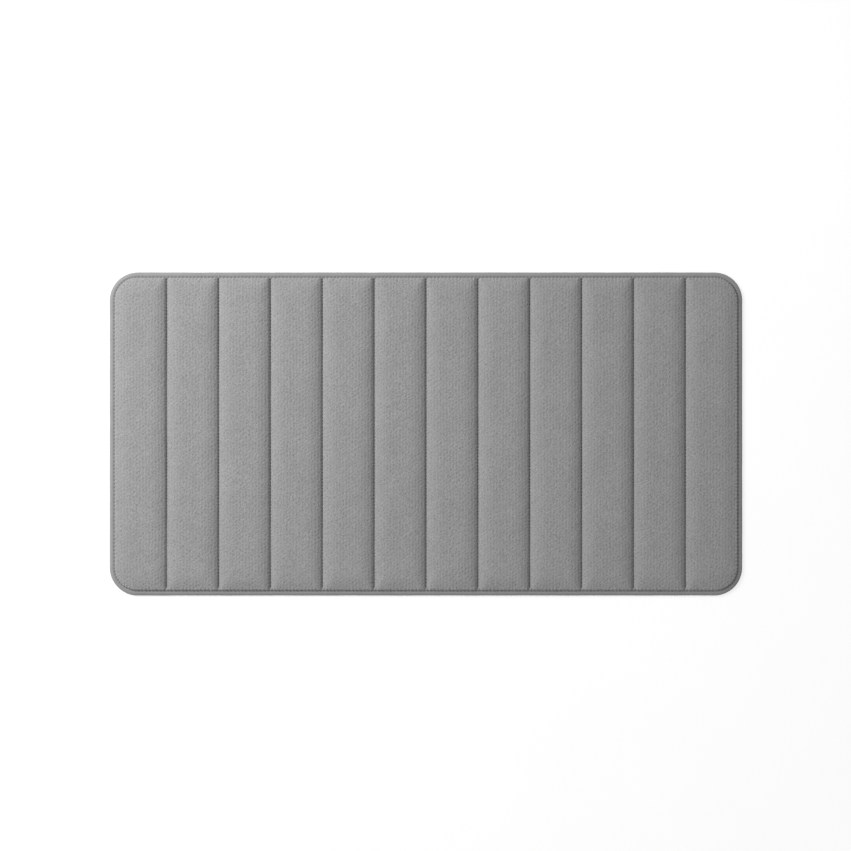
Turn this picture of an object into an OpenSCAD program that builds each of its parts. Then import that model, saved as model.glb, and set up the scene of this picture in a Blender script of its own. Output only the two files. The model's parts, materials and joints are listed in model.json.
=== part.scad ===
// Quilted foam bath mat: rows of foam under a pile cover, sewn down between the rows,
// on a grip backing, with a tape binding round the edge.
// The mat lies on Z = 0 with its length along X. Each seam between two rows is a fold line.

/* [Mat] */
// Length over the binding
mat_l = 1194; // [1180:2:1240]
// Width over the binding
mat_w = 610; // [560:2:660]
// Height of a puffed row above the floor
mat_h = 13.5; // [12:0.5:16]
// Radius of the four outer corners
corner_r = 53; // [52:1:75]

/* [Quilting] */
// Distance from one sewn seam to the next
seam_pitch = 97.8; // [95:0.1:98.5]
// Width of the strip that is sewn down flat
web_w = 2; // [1.8:0.1:3]
// How far a row takes to rise from that strip to its full height
seam_run = 24; // [18:1:28]
// Height of the cover where it is sewn down
web_h = 3.5; // [3:0.1:4]

/* [Layers] */
// Thickness of the pile cover
cover_t = 1.5; // [1:0.1:1.6]
// Thickness of the backing sheet
backing_t = 0.6; // [0.4:0.1:0.8]
// Height of the grip dots under the backing
dot_h = 0.8; // [0.5:0.1:1]
// Diameter of a grip dot
dot_d = 5; // [3:0.5:7]
// Diameter of the seam thread
thread_d = 0.9; // [0.5:0.1:1]

/* [Binding] */
// Width of the tape, on the face and on the underside
bind_w = 10; // [8:0.5:12]
// Thickness of the tape
bind_t = 0.8; // [0.5:0.1:1]
// Height of the bound edge
bind_h = 6.3; // [6:0.1:7]
// Height of a row next to the binding
edge_h = 9.2; // [8:0.1:10]
// How far a row takes to rise from there to its full height
edge_run = 38; // [20:1:40]

/* [Label] */
// Length of the blank care label
label_l = 45; // [30:1:45]
// Width of the blank care label
label_w = 25; // [15:1:30]

/* [Hidden] */
$fn = 48;
// the long, shallow arcs have more facets
wide_fn = 180;
rows = 12;
seams = rows - 1;
root_row = 6;
dots_across_row = 6;
dot_pitch = seam_pitch / dots_across_row;
// the backing's faces, and the height of the fold lines
backing_z = dot_h;
backing_top = dot_h + backing_t;
fold_z = (backing_z + web_h) / 2;
// the layers reach into the binding as far as its folded edge
flange_in = bind_h / 2;
flange_h = bind_h - bind_t;
// a row keeps this far from a fold line: at the thread, past the fold, and at the binding
thread_gap = thread_d / 2;
fold_gap = 0.8;
bind_gap = 1.3;
// the thread stops this far inside the edge
thread_in = bind_w + 5;
label_t = 0.4;
label_row = rows;
label_x = mat_l / 2 - corner_r - label_l / 2;
label_y = mat_w / 2 - bind_w - label_w / 2 - 1;
// a little more than the shape, for cutters
over = 1;

function two(i) = str(i < 10 ? "0" : "", i);
function seam_x(j) = (j - rows / 2) * seam_pitch;
function left_gap(i) = i > root_row ? fold_gap : thread_gap;
function right_gap(i) = i < root_row ? fold_gap : thread_gap;
function row_x0(i) = i == 1 ? -mat_l / 2 : seam_x(i - 1) + left_gap(i);
function row_x1(i) = i == rows ? mat_l / 2 : seam_x(i) - right_gap(i);

// radius of an arc that is level at the top and drops by `fall` over `run`
function arc_r(run, fall) = (run * run + fall * fall) / (2 * fall);

// how far a point lies inside the mat's rounded outline
function inside(x, y) =
    abs(x) > mat_l / 2 - corner_r && abs(y) > mat_w / 2 - corner_r
    ? corner_r - norm([abs(x) - mat_l / 2 + corner_r, abs(y) - mat_w / 2 + corner_r])
    : min(mat_l / 2 - abs(x), mat_w / 2 - abs(y));

function on_label(x, y) =
    abs(x - label_x) < (label_l + dot_d) / 2 + over
    && abs(y - label_y) < (label_w + dot_d) / 2 + over;

// In section: a flat strip, then a rounded slope from `low` to the full height, lowered by `drop`, on `base`
module slope(strip, strip_h, run, low, drop, base) {
    r = arc_r(run, mat_h - low);
    translate([-strip, base])
        square([strip, strip_h - drop - base]);
    intersection() {
        translate([0, base])
            square([run, mat_h]);
        translate([run, mat_h - drop - r])
            circle(r, $fn = wide_fn);
    }
}

// A row across its length, in X and Z, and `grow` wider each side
module row_section(i, drop, base, grow) {
    x0 = row_x0(i) - grow;
    x1 = row_x1(i) + grow;
    flat0 = i == 1 ? 0 : seam_x(i - 1) + web_w / 2 - x0;
    flat1 = i == rows ? 0 : x1 - seam_x(i) + web_w / 2;
    rise0 = i == 1 ? 0 : seam_run;
    rise1 = i == rows ? 0 : seam_run;
    translate([x0 + flat0 + rise0, base])
        square([x1 - x0 - flat0 - rise0 - flat1 - rise1, mat_h - drop - base]);
    if (i > 1)
        translate([x0 + flat0, 0])
            slope(flat0, web_h, seam_run, web_h, drop, base);
    if (i < rows)
        translate([x1 - flat1, 0])
            mirror([1, 0]) slope(flat1, web_h, seam_run, web_h, drop, base);
}

// The mat from its outline inwards by `reach`: distance from the outline, and Z
module edge_section(reach, drop, base, grow) {
    start = bind_w + drop;
    translate([start, 0])
        slope(start - flange_in + grow, flange_h, edge_run, edge_h, drop, base);
    translate([start + edge_run, base])
        square([reach - start - edge_run, mat_h - drop - base]);
}

// A section in Y and Z, run along X
module along_x(x0, x1) {
    translate([x0, 0, 0])
        rotate([90, 0, 90])
            linear_extrude(x1 - x0) children();
}

// A section in X and Z, run along Y, centred
module along_y(length) {
    rotate([90, 0, 0])
        linear_extrude(length, center = true) children();
}

// A section by distance from the outline, run along both long edges from x0 to x1
module long_edges(x0, x1) {
    along_x(x0, x1)
        for (side = [0, 1])
            mirror([side, 0]) translate([-mat_w / 2, 0]) children();
}

// The same section, run round the left end: the end and both corners
module round_end() {
    translate([-mat_l / 2, 0, 0])
        along_y(mat_w - 2 * corner_r) children();
    for (side = [0, 1])
        mirror([0, side, 0])
            translate([-mat_l / 2 + corner_r, -mat_w / 2 + corner_r, 0])
                rotate([0, 0, 180])
                    rotate_extrude(angle = 90)
                        translate([corner_r, 0]) mirror([1, 0]) children();
}

// The padding under a surface, before it is parted into rows
module edge_solid(i, drop, base, grow) {
    if (i == 1 || i == rows)
        mirror([i == rows ? 1 : 0, 0, 0]) {
            long_edges(-mat_l / 2 + corner_r, 0)
                edge_section(mat_w / 2, drop, base, grow);
            round_end()
                edge_section(corner_r, drop, base, grow);
        }
    else
        long_edges(row_x0(i) - over, row_x1(i) + over)
            edge_section(mat_w / 2, drop, base, grow);
}

module row_solid(i, drop, base, grow = 0) {
    intersection() {
        along_y(mat_w)
            row_section(i, drop, base, grow);
        edge_solid(i, drop, base, grow);
    }
}

module foam_strip(i) {
    color("#efe6cf")
        row_solid(i, cover_t, backing_top);
}

module cover(i) {
    color("#9c9c9c")
        difference() {
            row_solid(i, 0, backing_top);
            row_solid(i, cover_t, 0, over);
        }
}

// The mat's outline, inset
module outline(inset) {
    r = corner_r - inset;
    square([mat_l - 2 * inset, mat_w - 2 * corner_r], center = true);
    square([mat_l - 2 * corner_r, mat_w - 2 * inset], center = true);
    for (x = [-1, 1], y = [-1, 1])
        translate([x * (mat_l / 2 - corner_r), y * (mat_w / 2 - corner_r)])
            circle(r);
}

module grip_dots(i) {
    first = i == 1 ? seam_x(1) : seam_x(i - 1);
    way = i == 1 ? -1 : 1;
    count_y = floor(mat_w / 2 / dot_pitch);
    for (k = [0:dots_across_row], m = [-count_y:count_y]) {
        x = first + way * (k + 0.5) * dot_pitch;
        y = m * dot_pitch;
        in_row = k < dots_across_row || i == 1 || i == rows;
        on_mat = inside(x, y) > bind_w + dot_d;
        if (in_row && on_mat && !(i == label_row && on_label(x, y)))
            translate([x, y, 0]) cylinder(h = dot_h, d = dot_d);
    }
}

module backing(i) {
    color("#8c8c8a") {
        translate([0, 0, backing_z])
            linear_extrude(backing_t)
                intersection() {
                    outline(flange_in);
                    translate([row_x0(i), -mat_w / 2])
                        square([row_x1(i) - row_x0(i), mat_w]);
                }
        grip_dots(i);
    }
}

// The tape, folded over the edge: distance from the outline, and Z
module tape_section() {
    r = bind_h / 2;
    difference() {
        union() {
            translate([r, r]) circle(r);
            translate([r, 0]) square([bind_w - r, bind_h]);
        }
        translate([r, r]) circle(r - bind_t);
        translate([r, bind_t]) square([bind_w, bind_h - 2 * bind_t]);
    }
}

module binding(i) {
    color("#8f8f8f")
        if (i == 1 || i == rows)
            mirror([i == rows ? 1 : 0, 0, 0]) {
                long_edges(-mat_l / 2 + corner_r, seam_x(1) - bind_gap) tape_section();
                round_end() tape_section();
            }
        else
            long_edges(seam_x(i - 1) + bind_gap, seam_x(i) - bind_gap) tape_section();
}

module seam_thread(j) {
    color("#707070")
        translate([seam_x(j), 0, fold_z])
            rotate([90, 0, 0])
                cylinder(h = mat_w - 2 * thread_in, d = thread_d, center = true);
}

module care_label() {
    color("#f4f4f2")
        translate([label_x, label_y, backing_z - label_t / 2])
            cube([label_l, label_w, label_t], center = true);
}

for (i = [1:rows]) {
    foam_strip(i);
    cover(i);
    backing(i);
    binding(i);
}
for (j = [1:seams])
    seam_thread(j);
care_label();
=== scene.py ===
import json
import math

import bpy
import numpy as np
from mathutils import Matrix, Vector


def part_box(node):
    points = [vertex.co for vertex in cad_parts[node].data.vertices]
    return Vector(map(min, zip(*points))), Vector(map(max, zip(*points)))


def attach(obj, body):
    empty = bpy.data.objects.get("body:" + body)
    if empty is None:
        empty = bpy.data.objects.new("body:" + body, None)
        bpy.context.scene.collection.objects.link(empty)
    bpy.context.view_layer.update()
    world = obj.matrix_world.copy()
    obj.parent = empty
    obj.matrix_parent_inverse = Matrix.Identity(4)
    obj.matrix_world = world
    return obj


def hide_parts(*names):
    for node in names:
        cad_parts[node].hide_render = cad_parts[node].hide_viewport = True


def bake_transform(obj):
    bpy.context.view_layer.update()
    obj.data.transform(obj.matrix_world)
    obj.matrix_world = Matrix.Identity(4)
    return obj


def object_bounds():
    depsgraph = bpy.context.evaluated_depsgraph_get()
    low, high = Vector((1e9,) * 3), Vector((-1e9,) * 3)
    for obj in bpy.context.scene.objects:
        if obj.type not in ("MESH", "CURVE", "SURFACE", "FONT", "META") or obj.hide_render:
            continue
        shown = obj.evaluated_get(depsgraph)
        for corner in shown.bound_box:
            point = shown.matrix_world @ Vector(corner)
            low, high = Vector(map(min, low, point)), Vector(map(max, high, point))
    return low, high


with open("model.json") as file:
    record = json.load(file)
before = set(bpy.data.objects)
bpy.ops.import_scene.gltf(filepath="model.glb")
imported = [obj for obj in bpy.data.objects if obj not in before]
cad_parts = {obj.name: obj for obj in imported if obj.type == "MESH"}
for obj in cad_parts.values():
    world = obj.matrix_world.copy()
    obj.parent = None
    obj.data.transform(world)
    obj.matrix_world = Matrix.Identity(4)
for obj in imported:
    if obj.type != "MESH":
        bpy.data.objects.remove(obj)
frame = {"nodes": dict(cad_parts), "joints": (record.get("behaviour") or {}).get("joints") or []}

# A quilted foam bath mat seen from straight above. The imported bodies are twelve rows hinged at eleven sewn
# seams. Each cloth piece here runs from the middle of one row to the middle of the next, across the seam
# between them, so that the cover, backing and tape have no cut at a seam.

MM = 0.001
CAD_LOW, CAD_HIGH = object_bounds()

# ---------------------------------------------------------------- camera ----

VIEW_WIDTH = 1608 * MM  # how much of the scene the frame takes in, at the mat
CAMERA_HEIGHT = 3.2
CAMERA_AT = (-1 * MM, 16 * MM)  # the frame's centre, next to the mat's

camera_data = bpy.data.cameras.new("camera")
camera_data.sensor_width = 36
camera_data.lens = camera_data.sensor_width * CAMERA_HEIGHT / VIEW_WIDTH
camera = bpy.data.objects.new("camera", camera_data)
camera.location = (*CAMERA_AT, CAMERA_HEIGHT)
bpy.context.scene.collection.objects.link(camera)
bpy.context.scene.camera = camera

# ----------------------------------------------------------------- sizes ----

HALF_L, HALF_W, TOP = CAD_HIGH
CORNER_R = 53 * MM
CORNER_X = HALF_L - CORNER_R  # the centres of the corners' arcs
CORNER_Y = HALF_W - CORNER_R
QUARTER = CORNER_R * math.pi / 2  # round one corner
BIND_W = 9.6 * MM  # from the outline to about the tape's inner edge
BIND_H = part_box("binding_06")[1][2]
SHEET_LOW = 0.8 * MM  # the backing sheet's underside, on its grip dots
SHEET_HIGH = 1.4 * MM
WEB_H = 3.4 * MM  # the cover where it is sewn down at a seam
FLANGE_H = 5.4 * MM  # the cover where it comes out from under the tape
COVER_T = 1.1 * MM
WEB_HALF = 0.9 * MM  # half the strip that a seam holds flat
SEAM_RUN = 26 * MM  # how far a row takes to rise from a seam
SEAM_POWER = 2.2  # that rise is a quarter circle at 2 and squarer above it
EDGE_WALL = 2.5 * MM  # next to the tape a row rises steeply over this
EDGE_RUN = 42 * MM  # and then gently over this
EDGE_POWER = 2.8  # how soon the gentle rise levels out
WALL_SHARE = 0.48  # the steep part's share of the whole rise
MEET_POWER = 3  # how sharply the rise from a seam meets the one from the tape
TUCK = 6 * MM  # the cover ends this far inside the outline, under the tape
BACKING_TUCK = 4 * MM  # and the backing this far

SEAM_X = sorted(joint["pos_m"][0] for joint in frame["joints"])
SEAMS = len(SEAM_X)
ROWS = SEAMS + 1
MID_X = [(a + b) / 2 for a, b in zip(SEAM_X[:-1], SEAM_X[1:])]

rng = np.random.default_rng(24)


def smooth(t):
    t = np.clip(t, 0, 1)
    return t * t * (3 - 2 * t)


def inside(x, y):
    """How far points lie inside the mat's rounded outline."""
    along = np.abs(x) - CORNER_X
    across = np.abs(y) - CORNER_Y
    straight = CORNER_R - np.maximum(along, across)
    corner = CORNER_R - np.hypot(along, across)
    return np.where((along > 0) & (across > 0), corner, straight)


def seam_distance(x):
    return np.abs(x[..., None] - np.array(SEAM_X)).min(-1)


def hump(t, power=2.0):
    """0 to 1, steep at first and level at the end, as padding rises from a sewn line."""
    return (1 - (1 - np.clip(t, 0, 1)) ** power) ** (1 / power)


# ----------------------------------------------------------- the surface ----

SEAM_STITCH = 6.1 * MM  # from one stitch to the next along a seam
ROW_STITCHES = 14  # of the tape's stitches, along one row
END_STITCHES = 126  # and round one end, from the middle of a row to the middle of that row
SEAM_PINCH = 0.9 * MM  # the cover rises this much from a seam's stitch to the gap next to it
PINCH_REACH = 2.5 * MM  # and this far to the sides
EDGE_PUCKER = 1.4 * MM  # the same at the tape's stitches
PUCKER_REACH = 3.5 * MM
SEAM_END = (-0.5 * MM, 3.5 * MM)  # a seam fades out over this stretch next to the tape
DIP = 2.2 * MM  # under the tape the cover lies lower by this
DIP_START = 0.6 * MM  # it starts down this far before the tape
DIP_RUN = 1.6 * MM  # and is down after this distance
WAVINESS = 0.35 * MM

WAVES = 14
WAVE_LENGTHS = (0.07, 0.26)  # in metres
WAVE_SUM = 5  # the sum of all the waves is rarely more

# each wave's direction, its radians a metre and its phase
waves = [
    (rng.uniform(-math.pi, math.pi), 2 * math.pi / rng.uniform(*WAVE_LENGTHS), rng.uniform(0, 2 * math.pi))
    for _ in range(WAVES)
]


def wander(x, y):
    """A slow, uneven rise and fall, about -1 to 1."""
    total = sum(np.cos(k * (x * math.cos(a) + y * math.sin(a)) + phase) for a, k, phase in waves)
    return total / WAVE_SUM


def edge_phase(x, y):
    """A point's place along the tape, in stitches from the mat's middle. A stitch's middle is at a half."""
    along = np.abs(x) - CORNER_X
    across = np.abs(y) - CORNER_Y
    turned = CORNER_R * np.arctan2(np.maximum(along, 0), np.maximum(across, 1e-6))
    past_side = np.where(along > 0, turned, along)
    at_end = (along > 0) & (across <= 0)
    at = CORNER_X + np.where(at_end, QUARTER - across, past_side)
    last = CORNER_X + QUARTER + CORNER_Y
    rows_out = ROW_STITCHES * (SEAMS - 2) / 2
    return np.interp(at, [0, MID_X[-1], last], [0, rows_out, rows_out + END_STITCHES / 2])


def cover_height(x, y):
    past_tape = inside(x, y) - BIND_W
    from_seam = seam_distance(x)
    between = 0.5 - 0.5 * np.cos(2 * math.pi * y / SEAM_STITCH)
    pinch = SEAM_PINCH * between * np.exp(-((from_seam / PINCH_REACH) ** 2))
    across = hump((from_seam - WEB_HALF) / SEAM_RUN, SEAM_POWER)
    start = (FLANGE_H - WEB_H) / (TOP - WEB_H)
    gentle = 1 - (1 - np.clip(past_tape / EDGE_RUN, 0, 1)) ** EDGE_POWER
    rise = WALL_SHARE * hump(past_tape / EDGE_WALL) + (1 - WALL_SHARE) * gentle
    along = start + (1 - start) * rise
    puff = 0.5 * np.cos(2 * math.pi * edge_phase(x, y))
    pucker = EDGE_PUCKER * puff * np.exp(-((past_tape / PUCKER_REACH) ** 2))
    sewn = smooth((past_tape - SEAM_END[0]) / (SEAM_END[1] - SEAM_END[0]))
    lack = ((1 - along) ** MEET_POWER + ((1 - across) * sewn) ** MEET_POWER) ** (1 / MEET_POWER)
    share = np.maximum(1 - lack, 0)
    under_tape = DIP * smooth((DIP_START - past_tape) / DIP_RUN)
    waviness = WAVINESS * wander(x, y) * share
    return WEB_H + (TOP - WEB_H) * share + pinch * sewn + pucker - under_tape + waviness


# The pile stands in soft ribs along the rows, with small pits between its tufts.
RIB = 5.9 * MM
TUFT = 7.4 * MM
PIT_R = 1.4 * MM
RIB_DEPTH = 0.22 * MM
PIT_DEPTH = 0.85 * MM
RIB_DRIFT = 0.8 * MM  # the ribs wander to the sides by this
TUFT_DRIFT = 0.4  # and the pits along them by this share of a tuft
SPARE = 3  # ribs and tufts past the outline on each side
PIT_SPREAD = (0.5, 0.32)  # the pits' places vary over these shares of a rib and of a tuft
PIT_SHARE = (0.25, 1.0)  # and their depths between these shares of PIT_DEPTH

tuft_count = (int(2 * HALF_L / RIB) + 2 * SPARE + 2, int(2 * HALF_W / TUFT) + 2 * SPARE + 2)
tuft_shift = rng.uniform(-0.5, 0.5, (*tuft_count, 2)) * PIT_SPREAD
tuft_shift[1::2, :, 1] += 0.5  # every other rib is half a tuft further on
tuft_depth = rng.uniform(*PIT_SHARE, tuft_count)


def pile_relief(x, y):
    """How deep a point lies between the ribs and in the pits, each 0 to 1."""
    # wander is read at other places and scales each time, so that the three don't rise and fall together
    drift = RIB_DRIFT * wander(x * 0.7 + 0.2, y * 0.4)
    slip = TUFT_DRIFT * wander(x * 3.1, y * 2.6 + 0.1)
    strength = 0.6 + 0.4 * np.clip(wander(y * 2.1, x * 1.6), -1, 1)
    column = (x + HALF_L + drift) / RIB + SPARE
    row = (y + HALF_W) / TUFT + SPARE + slip
    rib = strength * (0.5 + 0.5 * np.cos(2 * math.pi * column)) ** 1.5
    pit = np.zeros_like(x)
    for i in (-1, 0, 1):
        for j in (-1, 0, 1):
            ci = np.clip(np.round(column).astype(int) + i, 0, tuft_count[0] - 1)
            cj = np.clip(np.floor(row).astype(int) + j, 0, tuft_count[1] - 1)
            dx = (column - ci - tuft_shift[ci, cj, 0]) * RIB
            dy = (row - cj - tuft_shift[ci, cj, 1]) * TUFT
            near = np.exp(-(dx * dx + dy * dy) / PIT_R**2) * tuft_depth[ci, cj]
            pit = np.maximum(pit, near)
    return rib, pit


# ---------------------------------------------------------------- meshes ----

GROWTH = 0.14  # away from a dense line each step is longer by this share of the distance


def piece_from(name, verts, faces, attributes=None):
    """A new mesh object. attributes are {name: one number or vector a vertex}."""
    mesh = bpy.data.meshes.new(name)
    mesh.from_pydata(np.asarray(verts, float).tolist(), [], faces)
    mesh.update()
    for key, values in {"rest_mm": np.asarray(verts) / MM, **(attributes or {})}.items():
        values = np.asarray(values, np.float32)
        kind = "FLOAT_VECTOR" if values.ndim == 2 else "FLOAT"
        field = "vector" if values.ndim == 2 else "value"
        mesh.attributes.new(key, kind, "POINT").data.foreach_set(field, values.ravel())
    mesh.shade_smooth()
    piece = bpy.data.objects.new(name, mesh)
    bpy.context.scene.collection.objects.link(piece)
    return piece


def joined(parts):
    """One (verts, faces) from several."""
    verts, faces, count = [], [], 0
    for part_verts, part_faces in parts:
        verts.append(part_verts)
        faces += [tuple(v + count for v in face) for face in part_faces]
        count += len(part_verts)
    return np.concatenate(verts), faces


def circle(sides):
    """The angles of a circle's corners."""
    return np.arange(sides) * 2 * math.pi / sides


def tube_faces(rings, sides):
    """The faces of rings of points, one after another, closed at both ends."""
    faces = [tuple(reversed(range(sides))), tuple(range((rings - 1) * sides, rings * sides))]
    for r in range(rings - 1):
        low, high = r * sides, (r + 1) * sides
        for s in range(sides):
            t = (s + 1) % sides
            faces.append((low + s, low + t, high + t, high + s))
    return faces


def graded(start, end, first, largest):
    """Points from start to end, `first` apart at start and then up to `largest`."""
    at = [0.0]
    while at[-1] < abs(end - start):
        at.append(at[-1] + min(largest, first + GROWTH * at[-1]))
    return start + np.array(at) * ((end - start) / at[-1])


def between_both(a, b, first, largest):
    """Points from a to b, close together at both."""
    middle = (a + b) / 2
    from_a = graded(a, middle, first, largest)
    from_b = graded(b, middle, first, largest)
    return np.concatenate([from_a, from_b[-2::-1]])


def rounded(x, y, tuck):
    """Moves a rectangle's grid points so that its corners follow the mat's rounded ones."""
    r = CORNER_R - tuck
    u = np.clip((np.abs(x) - CORNER_X) / r, 0, 1)
    v = np.clip((np.abs(y) - CORNER_Y) / r, 0, 1)
    u_new = u * np.sqrt(1 - v * v / 2)
    v_new = v * np.sqrt(1 - u * u / 2)
    return x + np.sign(x) * (u_new - u) * r, y + np.sign(y) * (v_new - v) * r


def mat_grid(tuck, steps_x, steps_y):
    """Lines over the mat, closer at the seams, the points where they cross, and each panel's columns."""
    stops = [-HALF_L + tuck, *SEAM_X, HALF_L - tuck]
    lines = [between_both(a, b, *steps_x) for a, b in zip(stops[:-1], stops[1:])]
    line_x = np.concatenate([lines[0], *(line[1:] for line in lines[1:])])
    line_y = between_both(-HALF_W + tuck, HALF_W - tuck, *steps_y)
    cuts = [0, *(int(np.abs(line_x - m).argmin()) for m in MID_X), len(line_x) - 1]
    spans = [slice(a, b + 1) for a, b in zip(cuts[:-1], cuts[1:])]
    crossings = rounded(*np.meshgrid(line_x, line_y, indexing="ij"), tuck)
    return line_x, line_y, crossings, spans


def grid_normals(points):
    along_x = np.gradient(points, axis=0)
    along_y = np.gradient(points, axis=1)
    normals = np.cross(along_x, along_y)
    return normals / np.linalg.norm(normals, axis=-1, keepdims=True)


def quads(a, b, c, d):
    """Four-sided faces from four grids of vertex numbers."""
    return np.stack([a, b, c, d], -1).reshape(-1, 4).tolist()


def slab(top, under, skip=4):
    """A closed skin: a fine grid on top, every skip-th point of `under` below, and a rim between them.
    The third value picks those coarse points out of a fine grid."""
    nx, ny = top.shape[:2]
    cols = sorted({*range(0, nx, skip), nx - 1})
    rows = sorted({*range(0, ny, skip), ny - 1})
    index = np.arange(nx * ny).reshape(nx, ny)
    low = nx * ny + np.arange(len(cols) * len(rows)).reshape(len(cols), len(rows))
    faces = quads(index[:-1, :-1], index[1:, :-1], index[1:, 1:], index[:-1, 1:])
    faces += quads(low[:-1, :-1], low[:-1, 1:], low[1:, 1:], low[1:, :-1])
    for a in range(len(cols) - 1):
        run = range(cols[a], cols[a + 1] + 1)
        faces.append([*(int(index[i, 0]) for i in reversed(run)), int(low[a, 0]), int(low[a + 1, 0])])
        faces.append([*(int(index[i, -1]) for i in run), int(low[a + 1, -1]), int(low[a, -1])])
    for b in range(len(rows) - 1):
        run = range(rows[b], rows[b + 1] + 1)
        faces.append([*(int(index[0, j]) for j in run), int(low[0, b + 1]), int(low[0, b])])
        faces.append([*(int(index[-1, j]) for j in reversed(run)), int(low[-1, b]), int(low[-1, b + 1])])
    coarse = np.ix_(cols, rows)
    return np.concatenate([top.reshape(-1, 3), under[coarse].reshape(-1, 3)]), faces, coarse


# ------------------------------------------------------------- materials ----

PILE = 0.29  # the pile's mean reflectance
SEAM_THREAD = 0.07  # and the threads'
EDGE_THREAD = 0.2


def material(name, roughness, bump_distance, specular=0.3, sheen=0.0, sheen_roughness=0.5):
    """A Principled material and the nodes to build on. Plain numbers stay on the shader's own sockets."""
    made = bpy.data.materials.new(name)
    made.use_nodes = True
    tree = made.node_tree
    shader = tree.nodes["Principled BSDF"]
    shader.inputs["Roughness"].default_value = roughness
    shader.inputs["Specular IOR Level"].default_value = specular
    shader.inputs["Sheen Weight"].default_value = sheen
    shader.inputs["Sheen Roughness"].default_value = sheen_roughness
    bump = tree.nodes.new("ShaderNodeBump")
    bump.inputs["Distance"].default_value = bump_distance
    bump.inputs["Strength"].default_value = 1
    tree.links.new(bump.outputs["Normal"], shader.inputs["Normal"])
    return made, tree, shader, bump


def plug(tree, value, socket):
    """Puts a number on a socket, or links another node's output to it."""
    if isinstance(value, (int, float)):
        socket.default_value = value
    else:
        tree.links.new(value, socket)


def attribute(tree, name):
    node = tree.nodes.new("ShaderNodeAttribute")
    node.attribute_name = name
    return node.outputs["Vector"]


def amount(tree, name):
    """An attribute that is one number a vertex."""
    return attribute(tree, name).node.outputs["Fac"]


def scaled(tree, where, scale, stretch):
    """A place in a pattern's own units."""
    mapping = tree.nodes.new("ShaderNodeMapping")
    mapping.inputs["Scale"].default_value = [scale * s for s in stretch]
    tree.links.new(where, mapping.inputs["Vector"])
    return mapping.outputs["Vector"]


def noise(tree, where, scale, detail, stretch=(1, 1, 1)):
    """Noise over a place; scale is how many features there are in one unit of it."""
    node = tree.nodes.new("ShaderNodeTexNoise")
    node.inputs["Scale"].default_value = 1
    node.inputs["Detail"].default_value = detail
    tree.links.new(scaled(tree, where, scale, stretch), node.inputs["Vector"])
    return node.outputs["Fac"]


def cells(tree, where, scale):
    """The distance from the middle of the nearest of many irregular cells."""
    node = tree.nodes.new("ShaderNodeTexVoronoi")
    node.inputs["Scale"].default_value = 1
    tree.links.new(scaled(tree, where, scale, (1, 1, 1)), node.inputs["Vector"])
    return node.outputs["Distance"]


def calc(tree, operation, a, b=None, c=None):
    node = tree.nodes.new("ShaderNodeMath")
    node.operation = operation
    for socket, value in zip(node.inputs, (a, b, c)):
        if value is not None:
            plug(tree, value, socket)
    return node.outputs["Value"]


def ridges(tree, where, axis, pitch):
    """Evenly spaced threads across an axis of `where`, 0 to 1; pitch is in where's own units."""
    split = tree.nodes.new("ShaderNodeSeparateXYZ")
    tree.links.new(where, split.inputs["Vector"])
    turned = calc(tree, "MULTIPLY", split.outputs[axis], 2 * math.pi / pitch)
    return calc(tree, "MULTIPLY_ADD", calc(tree, "SINE", turned), 0.5, 0.5)


def weighed(tree, a, a_share, b, b_share):
    """Two values added, each times its share."""
    return calc(tree, "MULTIPLY_ADD", a, a_share, calc(tree, "MULTIPLY", b, b_share))


def ramp(tree, factor, low, high, start=0.0, end=1.0):
    """Colour from low to high as factor goes from start to end."""
    node = tree.nodes.new("ShaderNodeValToRGB")
    node.color_ramp.elements[0].position = start
    node.color_ramp.elements[1].position = end
    node.color_ramp.elements[0].color = (*low, 1)
    node.color_ramp.elements[1].color = (*high, 1)
    tree.links.new(factor, node.inputs["Fac"])
    return node.outputs["Color"]


def times(tree, colour, tint):
    """Two colours multiplied."""
    node = tree.nodes.new("ShaderNodeMix")
    node.data_type = "RGBA"
    node.blend_type = "MULTIPLY"
    factor, a, b = node.inputs[0], node.inputs[6], node.inputs[7]
    factor.default_value = 1
    tree.links.new(colour, a)
    tree.links.new(tint, b)
    return node.outputs[2]


def mix_shaders(tree, share, first, second, output):
    """Sends a mix of two shaders to an output node; share is the second one's, a number or a socket."""
    both = tree.nodes.new("ShaderNodeMixShader")
    plug(tree, share, both.inputs["Fac"])
    tree.links.new(first, both.inputs[1])
    tree.links.new(second, both.inputs[2])
    tree.links.new(both.outputs["Shader"], tree.nodes[output].inputs["Surface"])


def grey(value, warmth=0.0):
    return (value * (1 + warmth), value, value * (1 - warmth))


WHITE = grey(1.0)


def stained(tree, colour, where, scale, detail, darkest):
    """A colour with slow darker patches."""
    stain = noise(tree, where, scale, detail)
    return times(tree, colour, ramp(tree, stain, darkest, WHITE, 0.3, 0.7))


def make_pile():
    """Short plush: clumped fibre tips, with painted shade in the pits and between the ribs and a painted
    lighter band next to the tape.
    """
    made, tree, shader, bump = material("pile", 0.92, 0.65 * MM, 0.18, sheen=0.2, sheen_roughness=0.45)
    where = attribute(tree, "rest_mm")
    fibres = noise(tree, where, 1.9, 3, stretch=(1, 0.6, 1))
    clumps = noise(tree, where, 0.52, 3)
    tone = weighed(tree, fibres, 0.4, clumps, 0.6)
    colour = ramp(tree, tone, grey(PILE * 0.70), grey(PILE * 1.31), 0.34, 0.66)
    patched = stained(tree, colour, where, 0.012, 2, grey(0.95))
    # painted shade: pits and the gaps between ribs are coloured darker, and the band next to the tape
    # lighter, as shade and light would make them
    shade = ramp(tree, amount(tree, "painted_shade"), grey(1.03), grey(0.84))
    tree.links.new(times(tree, patched, shade), shader.inputs["Base Color"])
    tree.links.new(weighed(tree, clumps, 0.7, fibres, 0.5), bump.inputs["Height"])
    return made


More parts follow.
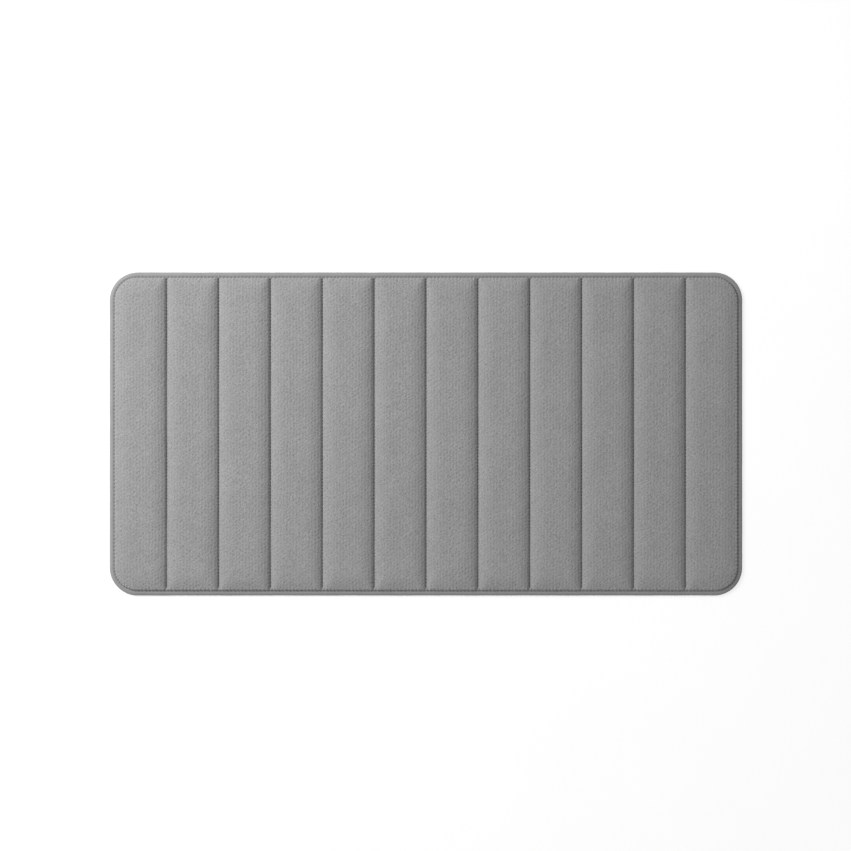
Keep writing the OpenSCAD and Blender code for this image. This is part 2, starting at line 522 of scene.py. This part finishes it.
def make_tape():
    """Woven polyester tape: fine ribs across its length and finer threads along it, with painted shade where
    the stitches press it down.
    """
    made, tree, shader, bump = material("tape", 0.82, 0.12 * MM, 0.25, sheen=0.1)
    along = attribute(tree, "along_mm")
    where = attribute(tree, "rest_mm")
    weave = calc(tree, "MULTIPLY", ridges(tree, along, "X", 0.9), ridges(tree, along, "Y", 0.7))
    fuzz = noise(tree, where, 1.4, 2)
    tone = weighed(tree, weave, 0.35, fuzz, 0.65)
    colour = ramp(tree, tone, grey(PILE * 0.81), grey(PILE * 1.14), 0.15, 0.75)
    worn = stained(tree, colour, where, 0.05, 3, grey(0.92))
    # painted shade in the dimples that the stitches press into the tape
    shade = ramp(tree, amount(tree, "stitch_shade"), WHITE, grey(0.86))
    tree.links.new(times(tree, worn, shade), shader.inputs["Base Color"])
    tree.links.new(calc(tree, "MULTIPLY_ADD", fuzz, 0.4, weave), bump.inputs["Height"])
    return made


def make_thread(name, shade):
    """Twisted sewing thread: slanting plies."""
    made, tree, shader, bump = material(name, 0.6, 0.08 * MM, 0.3, sheen=0.1)
    plies = ridges(tree, attribute(tree, "along_mm"), "X", 0.8)
    fuzz = noise(tree, attribute(tree, "rest_mm"), 2.5, 2)
    tone = weighed(tree, plies, 0.6, fuzz, 0.4)
    tree.links.new(ramp(tree, tone, grey(shade * 0.7), grey(shade * 1.25)), shader.inputs["Base Color"])
    tree.links.new(plies, bump.inputs["Height"])
    return made


def make_mesh_sheet():
    """The backing: an open plain weave, coated."""
    made, tree, shader, bump = material("mesh_sheet", 0.75, 0.2 * MM, 0.3)
    where = attribute(tree, "rest_mm")
    over = calc(tree, "MAXIMUM", ridges(tree, where, "X", 1.6), ridges(tree, where, "Y", 1.6))
    colour = ramp(tree, over, grey(0.13, 0.02), grey(0.30, 0.02), 0.45, 0.95)
    soiled = stained(tree, colour, where, 0.03, 3, grey(0.88))
    tree.links.new(soiled, shader.inputs["Base Color"])
    tree.links.new(over, bump.inputs["Height"])
    return made


def make_grip():
    """Grip dots: soft moulded plastic with a slightly grainy skin."""
    made, tree, shader, bump = material("grip", 0.5, 0.06 * MM, 0.45)
    where = attribute(tree, "rest_mm")
    grain = noise(tree, where, 2.0, 3)
    spread = noise(tree, where, 0.09, 2)
    colour = ramp(tree, spread, grey(0.34, 0.02), grey(0.42, 0.02), 0.3, 0.7)
    tree.links.new(colour, shader.inputs["Base Color"])
    tree.links.new(grain, bump.inputs["Height"])
    tree.links.new(calc(tree, "MULTIPLY_ADD", grain, 0.25, 0.38), shader.inputs["Roughness"])
    return made


def make_foam():
    """Open-cell foam: pores and a slightly yellowed cream. The place is in metres here."""
    made, tree, shader, bump = material("foam", 0.95, 0.3 * MM, 0.15)
    where = tree.nodes.new("ShaderNodeTexCoord").outputs["Object"]
    pores = cells(tree, where, 900)
    colour = ramp(tree, pores, (0.62, 0.55, 0.38), (0.86, 0.80, 0.62), 0.1, 0.5)
    yellowed = stained(tree, colour, where, 18, 3, (0.9, 0.86, 0.76))
    tree.links.new(yellowed, shader.inputs["Base Color"])
    tree.links.new(pores, bump.inputs["Height"])
    return made


def make_label_cloth():
    """White satin label tape, with nothing on it."""
    made, tree, shader, bump = material("label", 0.45, 0.05 * MM, 0.4, sheen=0.1)
    where = attribute(tree, "rest_mm")
    weave = calc(tree, "MULTIPLY", ridges(tree, where, "X", 0.35), ridges(tree, where, "Y", 0.5))
    colour = ramp(tree, weave, grey(0.66, 0.01), grey(0.8, 0.01))
    soiled = stained(tree, colour, where, 0.15, 3, grey(0.9, 0.02))
    tree.links.new(soiled, shader.inputs["Base Color"])
    tree.links.new(weave, bump.inputs["Height"])
    return made


pile = make_pile()
tape = make_tape()
seam_thread = make_thread("seam_thread", SEAM_THREAD)
edge_thread = make_thread("edge_thread", EDGE_THREAD)
mesh_sheet = make_mesh_sheet()
grip = make_grip()
foam = make_foam()
label_cloth = make_label_cloth()

# -------------------------------------------------------- rows and seams ----


def row_name(row):
    return f"row_{row:02d}"


def across_seam(piece):
    """Bakes a piece's transform into its mesh. The piece lies across one of seams 1 to 11, between the rows
    on its two sides.
    """
    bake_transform(piece)


def stands_for(kind, seam, last=SEAMS):
    """Replaces the CAD piece of the row before a seam, and at the last seam the one after it too."""
    rows = (seam, seam + 1) if seam == last else (seam,)
    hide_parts(*(f"{kind}_{row:02d}" for row in rows))


# ------------------------------------------------------------ simulation ----

SIM_CELLS = 14  # cells across a row
SIM_STEP = 7 * MM  # and their length
SIM_FRAMES = 20
SIM_SHARE = 0.3  # the foam holds back the rest
SIM_CAP = 1.0 * MM
SIM_PRESSURE = 4
SIM_SLACK = 0.008  # the cloth is this share longer than its way over the foam
SIM_NOISE = 0.2 * MM  # the pad starts this uneven
SIM_LOOSE = 3 * MM  # a seam isn't held within this of the tape
SIM_FADE = 5 * MM  # the simulated rise starts from nothing over this


def add_cloth(pad, pinned):
    """Blows a closed pad up between its pinned points."""
    pins = pad.vertex_groups.new(name="pins")
    pins.add([int(v) for v in pinned], 1, "REPLACE")
    cloth = pad.modifiers.new("cloth", "CLOTH")
    cloth.point_cache.frame_start = 1
    cloth.point_cache.frame_end = SIM_FRAMES
    cloth.collision_settings.use_collision = False
    settings = cloth.settings
    settings.vertex_group_mass = "pins"
    settings.effector_weights.gravity = 0
    settings.use_pressure = True
    settings.uniform_pressure_force = SIM_PRESSURE
    settings.shrink_min = -SIM_SLACK
    settings.mass = 0.3
    settings.shear_stiffness = 5
    for frame_number in range(1, SIM_FRAMES + 1):
        bpy.context.scene.frame_set(frame_number)


def spline_weights(at, count):
    """A matrix that reads a smooth curve through `count` values at the index positions `at`."""
    first = np.floor(at).astype(int)
    t = at - first
    parts = ((1 - t) ** 3, 3 * t**3 - 6 * t**2 + 4, -3 * t**3 + 3 * t**2 + 3 * t + 1, t**3)
    weights = np.zeros((len(at), count))
    for k, part in enumerate(parts):
        np.add.at(weights, (np.arange(len(at)), np.clip(first + k - 1, 0, count - 1)), part / 6)
    return weights


def simulated_lift(fine_x, fine_y):
    """How far the cover rises and puckers over its foam, at each crossing of the fine lines."""
    stops = [fine_x[0], *SEAM_X, fine_x[-1]]
    rows = [np.linspace(a, b, SIM_CELLS + 1)[1:] for a, b in zip(stops[:-1], stops[1:])]
    line_x = np.concatenate([stops[:1], *rows])
    line_y = np.linspace(fine_y[0], fine_y[-1], round((fine_y[-1] - fine_y[0]) / SIM_STEP) + 1)
    x, y = rounded(*np.meshgrid(line_x, line_y, indexing="ij"), TUCK)
    start = cover_height(x, y) + rng.normal(0, SIM_NOISE, x.shape)
    verts, faces, _ = slab(np.stack([x, y, start], -1), np.stack([x, y, 0 * x + SHEET_HIGH], -1), skip=1)
    pad = piece_from("pad", verts, faces)
    past_tape = inside(x, y) - BIND_W
    sewn = (seam_distance(x) <= WEB_HALF) & (past_tape >= SIM_LOOSE)
    held = np.flatnonzero(sewn | (past_tape < 0))
    add_cloth(pad, [*held, *range(x.size, 2 * x.size)])
    blown = pad.evaluated_get(bpy.context.evaluated_depsgraph_get()).data
    place = np.empty(len(blown.vertices) * 3, np.float32)
    blown.vertices.foreach_get("co", place)
    bpy.data.objects.remove(pad)
    bpy.context.scene.frame_set(1)
    height = place.reshape(-1, 3)[: x.size, 2].reshape(x.shape)
    rise = np.clip(SIM_SHARE * (height - start), -SIM_CAP, SIM_CAP)
    across = spline_weights(np.interp(fine_x, line_x, np.arange(len(line_x))), len(line_x))
    along = spline_weights(np.interp(fine_y, line_y, np.arange(len(line_y))), len(line_y))
    return across @ rise @ along.T


# ----------------------------------------------------------------- cover ----

COVER_STEPS_X = (0.45 * MM, 1.25 * MM)  # the grid's smallest and largest steps
COVER_STEPS_Y = (1.0 * MM, 1.5 * MM)
FUZZ = 0.07 * MM  # the pile's uneven surface
CLEAR_OF_TAPE = 3 * MM  # ribs and pits reach their full depth this far from the tape
CLEAR_OF_SEAM = 1.5 * MM  # and this far from a seam
PALE_BAND = 14 * MM  # over this next to the tape the pile is painted paler, painted light
PAINTED_FLAT_SHADE = 0.15  # the painted shade on the pile past that, with no rib or pit
PAINTED_RIB_SHADE = 0.25  # and how much more painted shade between two ribs


def make_cover():
    line_x, line_y, (x, y), spans = mat_grid(TUCK, COVER_STEPS_X, COVER_STEPS_Y)
    past_tape = inside(x, y) - BIND_W
    past_seam = seam_distance(x) - WEB_HALF
    free = smooth(past_seam / SIM_FADE) * smooth(past_tape / SIM_FADE)
    height = cover_height(x, y) + free * simulated_lift(line_x, line_y)
    surface = np.stack([x, y, height], -1)
    normals = grid_normals(surface)
    rib, pit = pile_relief(x, y)
    clear = smooth(past_tape / CLEAR_OF_TAPE) * smooth(past_seam / CLEAR_OF_SEAM)
    depth = clear * (RIB_DEPTH * rib + PIT_DEPTH * pit) + rng.normal(0, FUZZ, pit.shape)
    top = surface - normals * depth[..., None]
    under = surface - normals * COVER_T
    shading = grid_normals(top)
    # painted light: the pile's colour is lighter next to the tape, where the painted pit shade fades out
    past_pale_band = smooth(past_tape / PALE_BAND)
    # painted shade in the pits and between the ribs, fading out next to the tape and the seams
    painted_shade = np.clip(PAINTED_FLAT_SHADE * past_pale_band + clear * (PAINTED_RIB_SHADE * rib + pit), 0, 1)
    for seam, span in enumerate(spans, 1):
        verts, faces, coarse = slab(top[span], under[span])
        painted_shade_all = np.concatenate([painted_shade[span].ravel(), painted_shade[span][coarse].ravel()])
        piece = piece_from(f"cover_panel_{seam:02d}", verts, faces, {"painted_shade": painted_shade_all})
        normal_all = np.concatenate([shading[span].reshape(-1, 3), -shading[span][coarse].reshape(-1, 3)])
        piece.data.normals_split_custom_set_from_vertices(normal_all.tolist())
        piece.data.materials.append(pile)
        across_seam(piece)
        stands_for("cover", seam)


make_cover()

# --------------------------------------------------------------- backing ----

BACKING_STEPS_X = (0.5 * MM, 8 * MM)  # smallest and largest
BACKING_STEPS_Y = (4 * MM, 8 * MM)


def make_backing():
    _, _, (x, y), spans = mat_grid(BACKING_TUCK, BACKING_STEPS_X, BACKING_STEPS_Y)
    top = np.stack([x, y, np.full_like(x, SHEET_HIGH)], -1)
    under = np.stack([x, y, np.full_like(x, SHEET_LOW)], -1)
    for seam, span in enumerate(spans, 1):
        verts, faces, _ = slab(top[span], under[span], skip=1)
        piece = piece_from(f"backing_panel_{seam:02d}", verts, faces)
        piece.data.materials.append(mesh_sheet)
        across_seam(piece)
        stands_for("backing", seam)


make_backing()

DOTS_ACROSS = 6  # dots across a row
DOT_PITCH = (SEAM_X[1] - SEAM_X[0]) / DOTS_ACROSS
DOT_MARGIN = 15 * MM  # the dots stay this far inside the outline
LABEL_MARGIN = 3.5 * MM  # and this far from the label
DOT_SIDES = 12
DOT_RINGS = [(1.1, 0.0), (1.9, 0.12), (2.35, 0.45), (2.5, 0.9)]  # a dot's radius and height, in millimetres


def dot_mesh():
    turn = circle(DOT_SIDES)
    rings = [
        np.stack([radius * np.cos(turn), radius * np.sin(turn), np.full(DOT_SIDES, height)], -1) * MM
        for radius, height in DOT_RINGS
    ]
    return np.concatenate(rings), tube_faces(len(rings), DOT_SIDES)


def on_label(x, y):
    low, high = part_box("care_label")
    return all(low[k] - LABEL_MARGIN < at < high[k] + LABEL_MARGIN for k, at in enumerate((x, y)))


def make_dots_of(row):
    """The grip dots under one row: low domes on a square pattern."""
    verts, faces = dot_mesh()
    first, way = (SEAM_X[0], -1) if row == 1 else (SEAM_X[row - 2], 1)
    out = int(HALF_W / DOT_PITCH)
    parts = []
    for k in range(DOTS_ACROSS + 1 if row in (1, ROWS) else DOTS_ACROSS):
        for m in range(-out, out + 1):
            x, y = first + way * (k + 0.5) * DOT_PITCH, m * DOT_PITCH
            if inside(np.array(x), np.array(y)) > DOT_MARGIN and not on_label(x, y):
                parts.append((verts + (x, y, 0), faces))
    piece = piece_from(f"grip_dots_{row:02d}", *joined(parts))
    piece.data.materials.append(grip)
    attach(piece, row_name(row))


for number in range(1, ROWS + 1):
    make_dots_of(number)

# ------------------------------------------------------ tape and stitches ----

# The folded tape in section: distance in from the outline, and height, in millimetres
OUTER = [
    (9.7, 0.35), (9.1, 0.3), (8.5, 0.55), (7.9, 0.3), (6.8, 0.1), (5.0, 0.0), (3.2, 0.1), (1.7, 0.5),
    (0.6, 1.3), (0.1, 2.2), (0.1, 3.0), (0.4, 3.8), (1.1, 4.55), (2.2, 5.15), (3.5, 5.65), (5.0, 6.05),
    (6.0, 6.2), (7.0, 6.05), (7.9, 5.9), (8.5, 5.75), (8.9, 5.75), (9.3, 5.75), (9.7, 5.6),
]
TAPE_T = 0.7  # in millimetres, as the section
PATH_FIRST = 0.5 * MM  # a path's first step from a seam
TAPE_STEP = 0.9 * MM  # and its largest one, for the tape
STITCH_STEP = 1.0 * MM  # and for the stitches
STITCH_LINE = 8.5 * MM  # the stitches' distance in from the outline
PRESSED = 0.6 * MM  # a stitch presses the tape down by this
PRESSED_BELOW = 0.4 * MM  # and its underside up by this
PRESS_REACH = 0.9 * MM  # outwards of the stitches both fade over this
DRAWN = 0.4 * MM  # a stitch draws the tape's inner edge outwards by this
EDGE_START = STITCH_LINE + 0.3 * MM  # that edge is all that lies further in than this
RIPPLE = 0.06 * MM  # the tape wavers in and out by this
RIPPLE_WAVES = (40, 97)  # in radians a metre
STITCH_L = 4.8 * MM
SEAM_THREAD_T = 1.0 * MM
EDGE_THREAD_T = 1.2 * MM
STITCH_RINGS = 7
STITCH_SIDES = 6
STITCH_DIP = 1.1  # a stitch's ends go down by this many thicknesses
STITCH_TAPER = 0.25  # and get thinner by this share
SEAM_STITCH_Z = (WEB_H + 0.3 * MM, SHEET_LOW - 0.1 * MM)  # on the face and underneath
EDGE_STITCH_Z = (5.15 * MM, 0.6 * MM)
SEAM_STITCH_END = 5 * MM  # a seam's stitches stop this far from the tape


def inner_skin(outer):
    """The same line, moved inwards by the tape's thickness."""
    line = np.array(outer)
    direction = np.gradient(line, axis=0)
    direction /= np.linalg.norm(direction, axis=1, keepdims=True)
    return line + TAPE_T * np.stack([direction[:, 1], -direction[:, 0]], -1)


def side_path(seam, side, step):
    """Points on one long side past one seam, each with the way in."""
    near, far = (graded(SEAM_X[seam - 1], middle, PATH_FIRST, step) for middle in MID_X[seam - 2 : seam])
    x = np.concatenate([near[::-1], far[1:]])
    points = np.stack([x, np.full_like(x, side * HALF_W)], -1)
    return points, np.tile((0.0, -float(side)), (len(x), 1))


def end_path(seam, step):
    """Points on the front, round one end and back along the other side, each with the way in."""
    end = -1 if seam == 1 else 1
    middle = MID_X[0] if seam == 1 else MID_X[-1]
    near = graded(SEAM_X[seam - 1], middle, PATH_FIRST, step)[::-1]
    far = graded(SEAM_X[seam - 1], end * CORNER_X, PATH_FIRST, step)[1:]
    half = [((x, -HALF_W), (0, 1)) for x in (*near, *far)]
    for t in np.linspace(0, math.pi / 2, int(QUARTER / step) + 1)[1:]:
        out = (end * math.sin(t), -math.cos(t))
        at = (end * CORNER_X + CORNER_R * out[0], -CORNER_Y + CORNER_R * out[1])
        half.append((at, (-out[0], -out[1])))
    flank_y = np.linspace(-CORNER_Y, CORNER_Y, int(2 * CORNER_Y / step) + 1)[1:]
    flank = [((end * HALF_L, y), (-end, 0)) for y in flank_y]
    mirrored = [((x, -y), (in_x, -in_y)) for (x, y), (in_x, in_y) in reversed(half)]
    points, inward = zip(*half, *flank, *mirrored[1:])
    return np.array(points), np.array(inward)


def outline_path(seam, side, step):
    """Points on the mat's outline along one piece; side is -1 or 1, or 0 for a whole end."""
    return side_path(seam, side, step) if side else end_path(seam, step)


def travelled(points):
    """How far each point is along its line."""
    return np.concatenate([[0], np.cumsum(np.linalg.norm(np.diff(points, axis=0), axis=1))])


def make_tape_piece(name, seam, side):
    """One length of the folded tape, pulled in to its stitches."""
    points, inward = outline_path(seam, side, TAPE_STEP)
    s = travelled(points)
    count = ROW_STITCHES if side else END_STITCHES
    ring = np.concatenate([np.array(OUTER), inner_skin(OUTER)[::-1]]) * MM
    stitched = (0.5 - 0.5 * np.cos(2 * math.pi * count * s / s[-1]))[:, None]
    near_line = np.exp(-((np.minimum(ring[:, 0] - STITCH_LINE, 0) / PRESS_REACH) ** 2))
    press = np.where(ring[:, 1] > BIND_H / 2, -PRESSED, PRESSED_BELOW)
    at_edge = ring[:, 0] > EDGE_START
    place = points.sum(1)[:, None]
    ripple = RIPPLE * sum(np.sin(wave * place + k) for k, wave in enumerate(RIPPLE_WAVES))
    reach = ring[:, 0] + ripple - DRAWN * stitched * at_edge
    rise = ring[:, 1] + press * stitched * near_line
    flat = points[:, None] + inward[:, None] * reach[..., None]
    verts = np.concatenate([flat, rise[..., None]], -1)
    rings, size = verts.shape[:2]
    side_on = np.roll(verts, -1, axis=1) - np.roll(verts, 1, axis=1)
    normals = np.cross(np.gradient(verts, axis=0), side_on)
    start, way = points[1] - points[0], inward[0]
    outwards = -1 if start[0] * way[1] - start[1] * way[0] > 0 else 1  # which way round the faces run
    normals *= -outwards / np.linalg.norm(normals, axis=-1, keepdims=True)
    index = np.arange(rings * size).reshape(rings, size)
    turned = np.roll(index, -1, axis=1)
    walls = quads(index[:-1], turned[:-1], turned[1:], index[1:])
    faces = [wall[::outwards] for wall in walls]
    faces += [index[0, ::-outwards].tolist(), index[-1, ::outwards].tolist()]
    around = travelled(ring)
    along = np.stack([np.repeat(s, size), np.tile(around, rings), np.zeros(rings * size)], -1) / MM
    # painted shade: the tape's colour is darker where the stitches press it down
    stitch_shade = (stitched * near_line).ravel()
    piece = piece_from(name, verts.reshape(-1, 3), faces, {"along_mm": along, "stitch_shade": stitch_shade})
    piece.data.normals_split_custom_set_from_vertices(normals.reshape(-1, 3).tolist())
    piece.data.materials.append(tape)
    across_seam(piece)
    return piece


def stitches(name, spots, along, up, thickness, look):
    """Short arched stitches at spots, with their ends going down into the cloth."""
    t = np.linspace(-1, 1, STITCH_RINGS)
    turn = circle(STITCH_SIDES)
    forward = t * STITCH_L / 2
    height = -thickness * STITCH_DIP * t**4
    radius = thickness / 2 * (1 - STITCH_TAPER * t**4)
    spots, along, up = (np.asarray(v)[:, None, None] for v in (spots, along, up))
    across = np.cross(along, up)
    centre = spots + along * forward[:, None, None] + up * height[:, None, None]
    sideways = across * (radius[:, None] * np.cos(turn))[..., None]
    upwards = up * (radius[:, None] * np.sin(turn))[..., None]
    faces = tube_faces(STITCH_RINGS, STITCH_SIDES)
    verts, all_faces = joined((one.reshape(-1, 3), faces) for one in centre + sideways + upwards)
    slant = (forward[:, None] + thickness * turn / 4).ravel()
    one_along = np.stack([slant, 0 * slant, 0 * slant], -1) / MM
    piece = piece_from(name, verts, all_faces, {"along_mm": np.tile(one_along, (len(spots), 1))})
    piece.data.materials.append(look)
    return piece


def make_seam_stitches(seam):
    x = SEAM_X[seam - 1]
    reach = HALF_W - BIND_W - SEAM_STITCH_END
    count = int(2 * reach / SEAM_STITCH)
    y = (np.arange(count) - (count - 1) / 2) * SEAM_STITCH
    above = [(x, v, SEAM_STITCH_Z[0]) for v in y]
    below = [(x, v + SEAM_STITCH / 2, SEAM_STITCH_Z[1]) for v in y[:-1]]
    spots = above + below
    along = [(0, 1, 0)] * len(spots)
    up = [(0, 0, 1)] * len(above) + [(0, 0, -1)] * len(below)
    piece = stitches(f"seam_stitches_{seam:02d}", spots, along, up, SEAM_THREAD_T, seam_thread)
    across_seam(piece)
    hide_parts(f"seam_thread_{seam:02d}")


def make_edge_stitches(name, seam, side):
    points, inward = outline_path(seam, side, STITCH_STEP)
    s = travelled(points)
    count = ROW_STITCHES if side else END_STITCHES
    at = (np.arange(count) + 0.5) * s[-1] / count
    spot = np.stack([np.interp(at, s, points[:, k]) for k in (0, 1)], -1)
    way_in = np.stack([np.interp(at, s, inward[:, k]) for k in (0, 1)], -1)
    way_in /= np.linalg.norm(way_in, axis=1, keepdims=True)
    line = spot + way_in * STITCH_LINE
    along = np.stack([-way_in[:, 1], way_in[:, 0], np.zeros(count)], -1)
    spots = [(x, y, z) for z in EDGE_STITCH_Z for x, y in line]
    up = [(0, 0, 1)] * count + [(0, 0, -1)] * count
    piece = stitches(name, spots, np.concatenate([along, along]), up, EDGE_THREAD_T, edge_thread)
    across_seam(piece)


def make_edges():
    """All the tape and every stitch. A side's front length stands for the CAD piece with both sides."""
    for seam in range(1, SEAMS + 1):
        make_seam_stitches(seam)
        if seam in (1, SEAMS):
            end = "left" if seam == 1 else "right"
            piece = make_tape_piece(f"binding_{end}_end", seam, 0)
            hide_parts(f"binding_{1 if seam == 1 else ROWS:02d}")
            make_edge_stitches(f"binding_stitches_{end}_end", seam, 0)
            continue
        for side, word in ((-1, "front"), (1, "back")):
            piece = make_tape_piece(f"binding_{word}_{seam:02d}", seam, side)
            if side < 0:
                stands_for("binding", seam, last=SEAMS - 1)
            make_edge_stitches(f"binding_stitches_{word}_{seam:02d}", seam, side)


make_edges()

# ------------------------------------------------------------ small parts ----

LABEL_T = 0.16 * MM
LABEL_GAP = 0.02 * MM  # between it and the backing
LABEL_SAG = 0.18 * MM  # its free edge hangs down by this
LABEL_WAVE = 0.6  # and by this share of it more and less along the edge
LABEL_WAVES = 190  # in radians a metre
LABEL_CELLS = (28, 18)


def make_care_label():
    """A blank label, flat next to the tape and a little wavy at its free edge."""
    low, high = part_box("care_label")
    line_x, line_y = (np.linspace(low[k], high[k], LABEL_CELLS[k]) for k in (0, 1))
    x, y = np.meshgrid(line_x, line_y, indexing="ij")
    free = smooth((high[1] - y) / (high[1] - low[1]))
    sag = LABEL_SAG * free * (1 + LABEL_WAVE * np.sin((x - low[0]) * LABEL_WAVES))
    base = high[2] - LABEL_GAP - sag
    verts, faces, _ = slab(np.stack([x, y, base], -1), np.stack([x, y, base - LABEL_T], -1), skip=1)
    piece = piece_from("care_label_cloth", verts, faces)
    piece.data.materials.append(label_cloth)
    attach(piece, row_name(ROWS))
    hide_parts("care_label")


make_care_label()

for number in range(1, ROWS + 1):
    node = frame["nodes"][f"foam_strip_{number:02d}"]
    node.data.materials.clear()
    node.data.materials.append(foam)

# -------------------------------------------------------- floor and light ----

FLOOR_HALF = 12
FLOOR_CLEAR = 0.65  # the share of light that goes through it
KEY_AT = (-2.1, 1.3, 1.8)
KEY_SIZE = 1.2
KEY_POWER = 94
WORLD_LIGHT = 0.5  # how bright the world is to the scene
WORLD_SEEN = 1.1  # and to the camera


def make_floor():
    """A white translucent sheet, so that ends that hang below it in a downward bend still show."""
    made, tree, shader, _ = material("floor", 0.6, 0.05 * MM, 0.2)
    where = tree.nodes.new("ShaderNodeTexCoord").outputs["Object"]
    colour = ramp(tree, noise(tree, where, 3, 4), grey(0.88), grey(0.92), 0.3, 0.7)
    tree.links.new(colour, shader.inputs["Base Color"])
    clear = tree.nodes.new("ShaderNodeBsdfTransparent")
    mix_shaders(tree, FLOOR_CLEAR, shader.outputs["BSDF"], clear.outputs["BSDF"], "Material Output")
    mesh = bpy.data.meshes.new("floor")
    corners = [(x * FLOOR_HALF, y * FLOOR_HALF, 0) for x, y in ((-1, -1), (1, -1), (1, 1), (-1, 1))]
    mesh.from_pydata(corners, [], [(0, 1, 2, 3)])
    mesh.materials.append(made)
    floor = bpy.data.objects.new("floor", mesh)
    bpy.context.scene.collection.objects.link(floor)


def make_key_light():
    """A soft square light, turned to the mat's middle."""
    data = bpy.data.lights.new("key", "AREA")
    data.shape = "SQUARE"
    data.size = KEY_SIZE
    data.energy = KEY_POWER
    light = bpy.data.objects.new("key", data)
    light.location = KEY_AT
    light.rotation_euler = (-light.location).to_track_quat("-Z", "Y").to_euler()
    bpy.context.scene.collection.objects.link(light)


def make_world():
    """A white room, brighter to the camera than to the scene."""
    world = bpy.data.worlds.new("studio")
    world.use_nodes = True
    tree = world.node_tree
    lights = tree.nodes["Background"]
    seen = tree.nodes.new("ShaderNodeBackground")
    for background, strength in ((lights, WORLD_LIGHT), (seen, WORLD_SEEN)):
        background.inputs["Color"].default_value = (1, 1, 1, 1)
        background.inputs["Strength"].default_value = strength
    to_camera = tree.nodes.new("ShaderNodeLightPath").outputs["Is Camera Ray"]
    mix_shaders(tree, to_camera, lights.outputs["Background"], seen.outputs["Background"], "World Output")
    bpy.context.scene.world = world
    bpy.context.scene.view_settings.view_transform = "Standard"


make_floor()
make_key_light()
make_world()
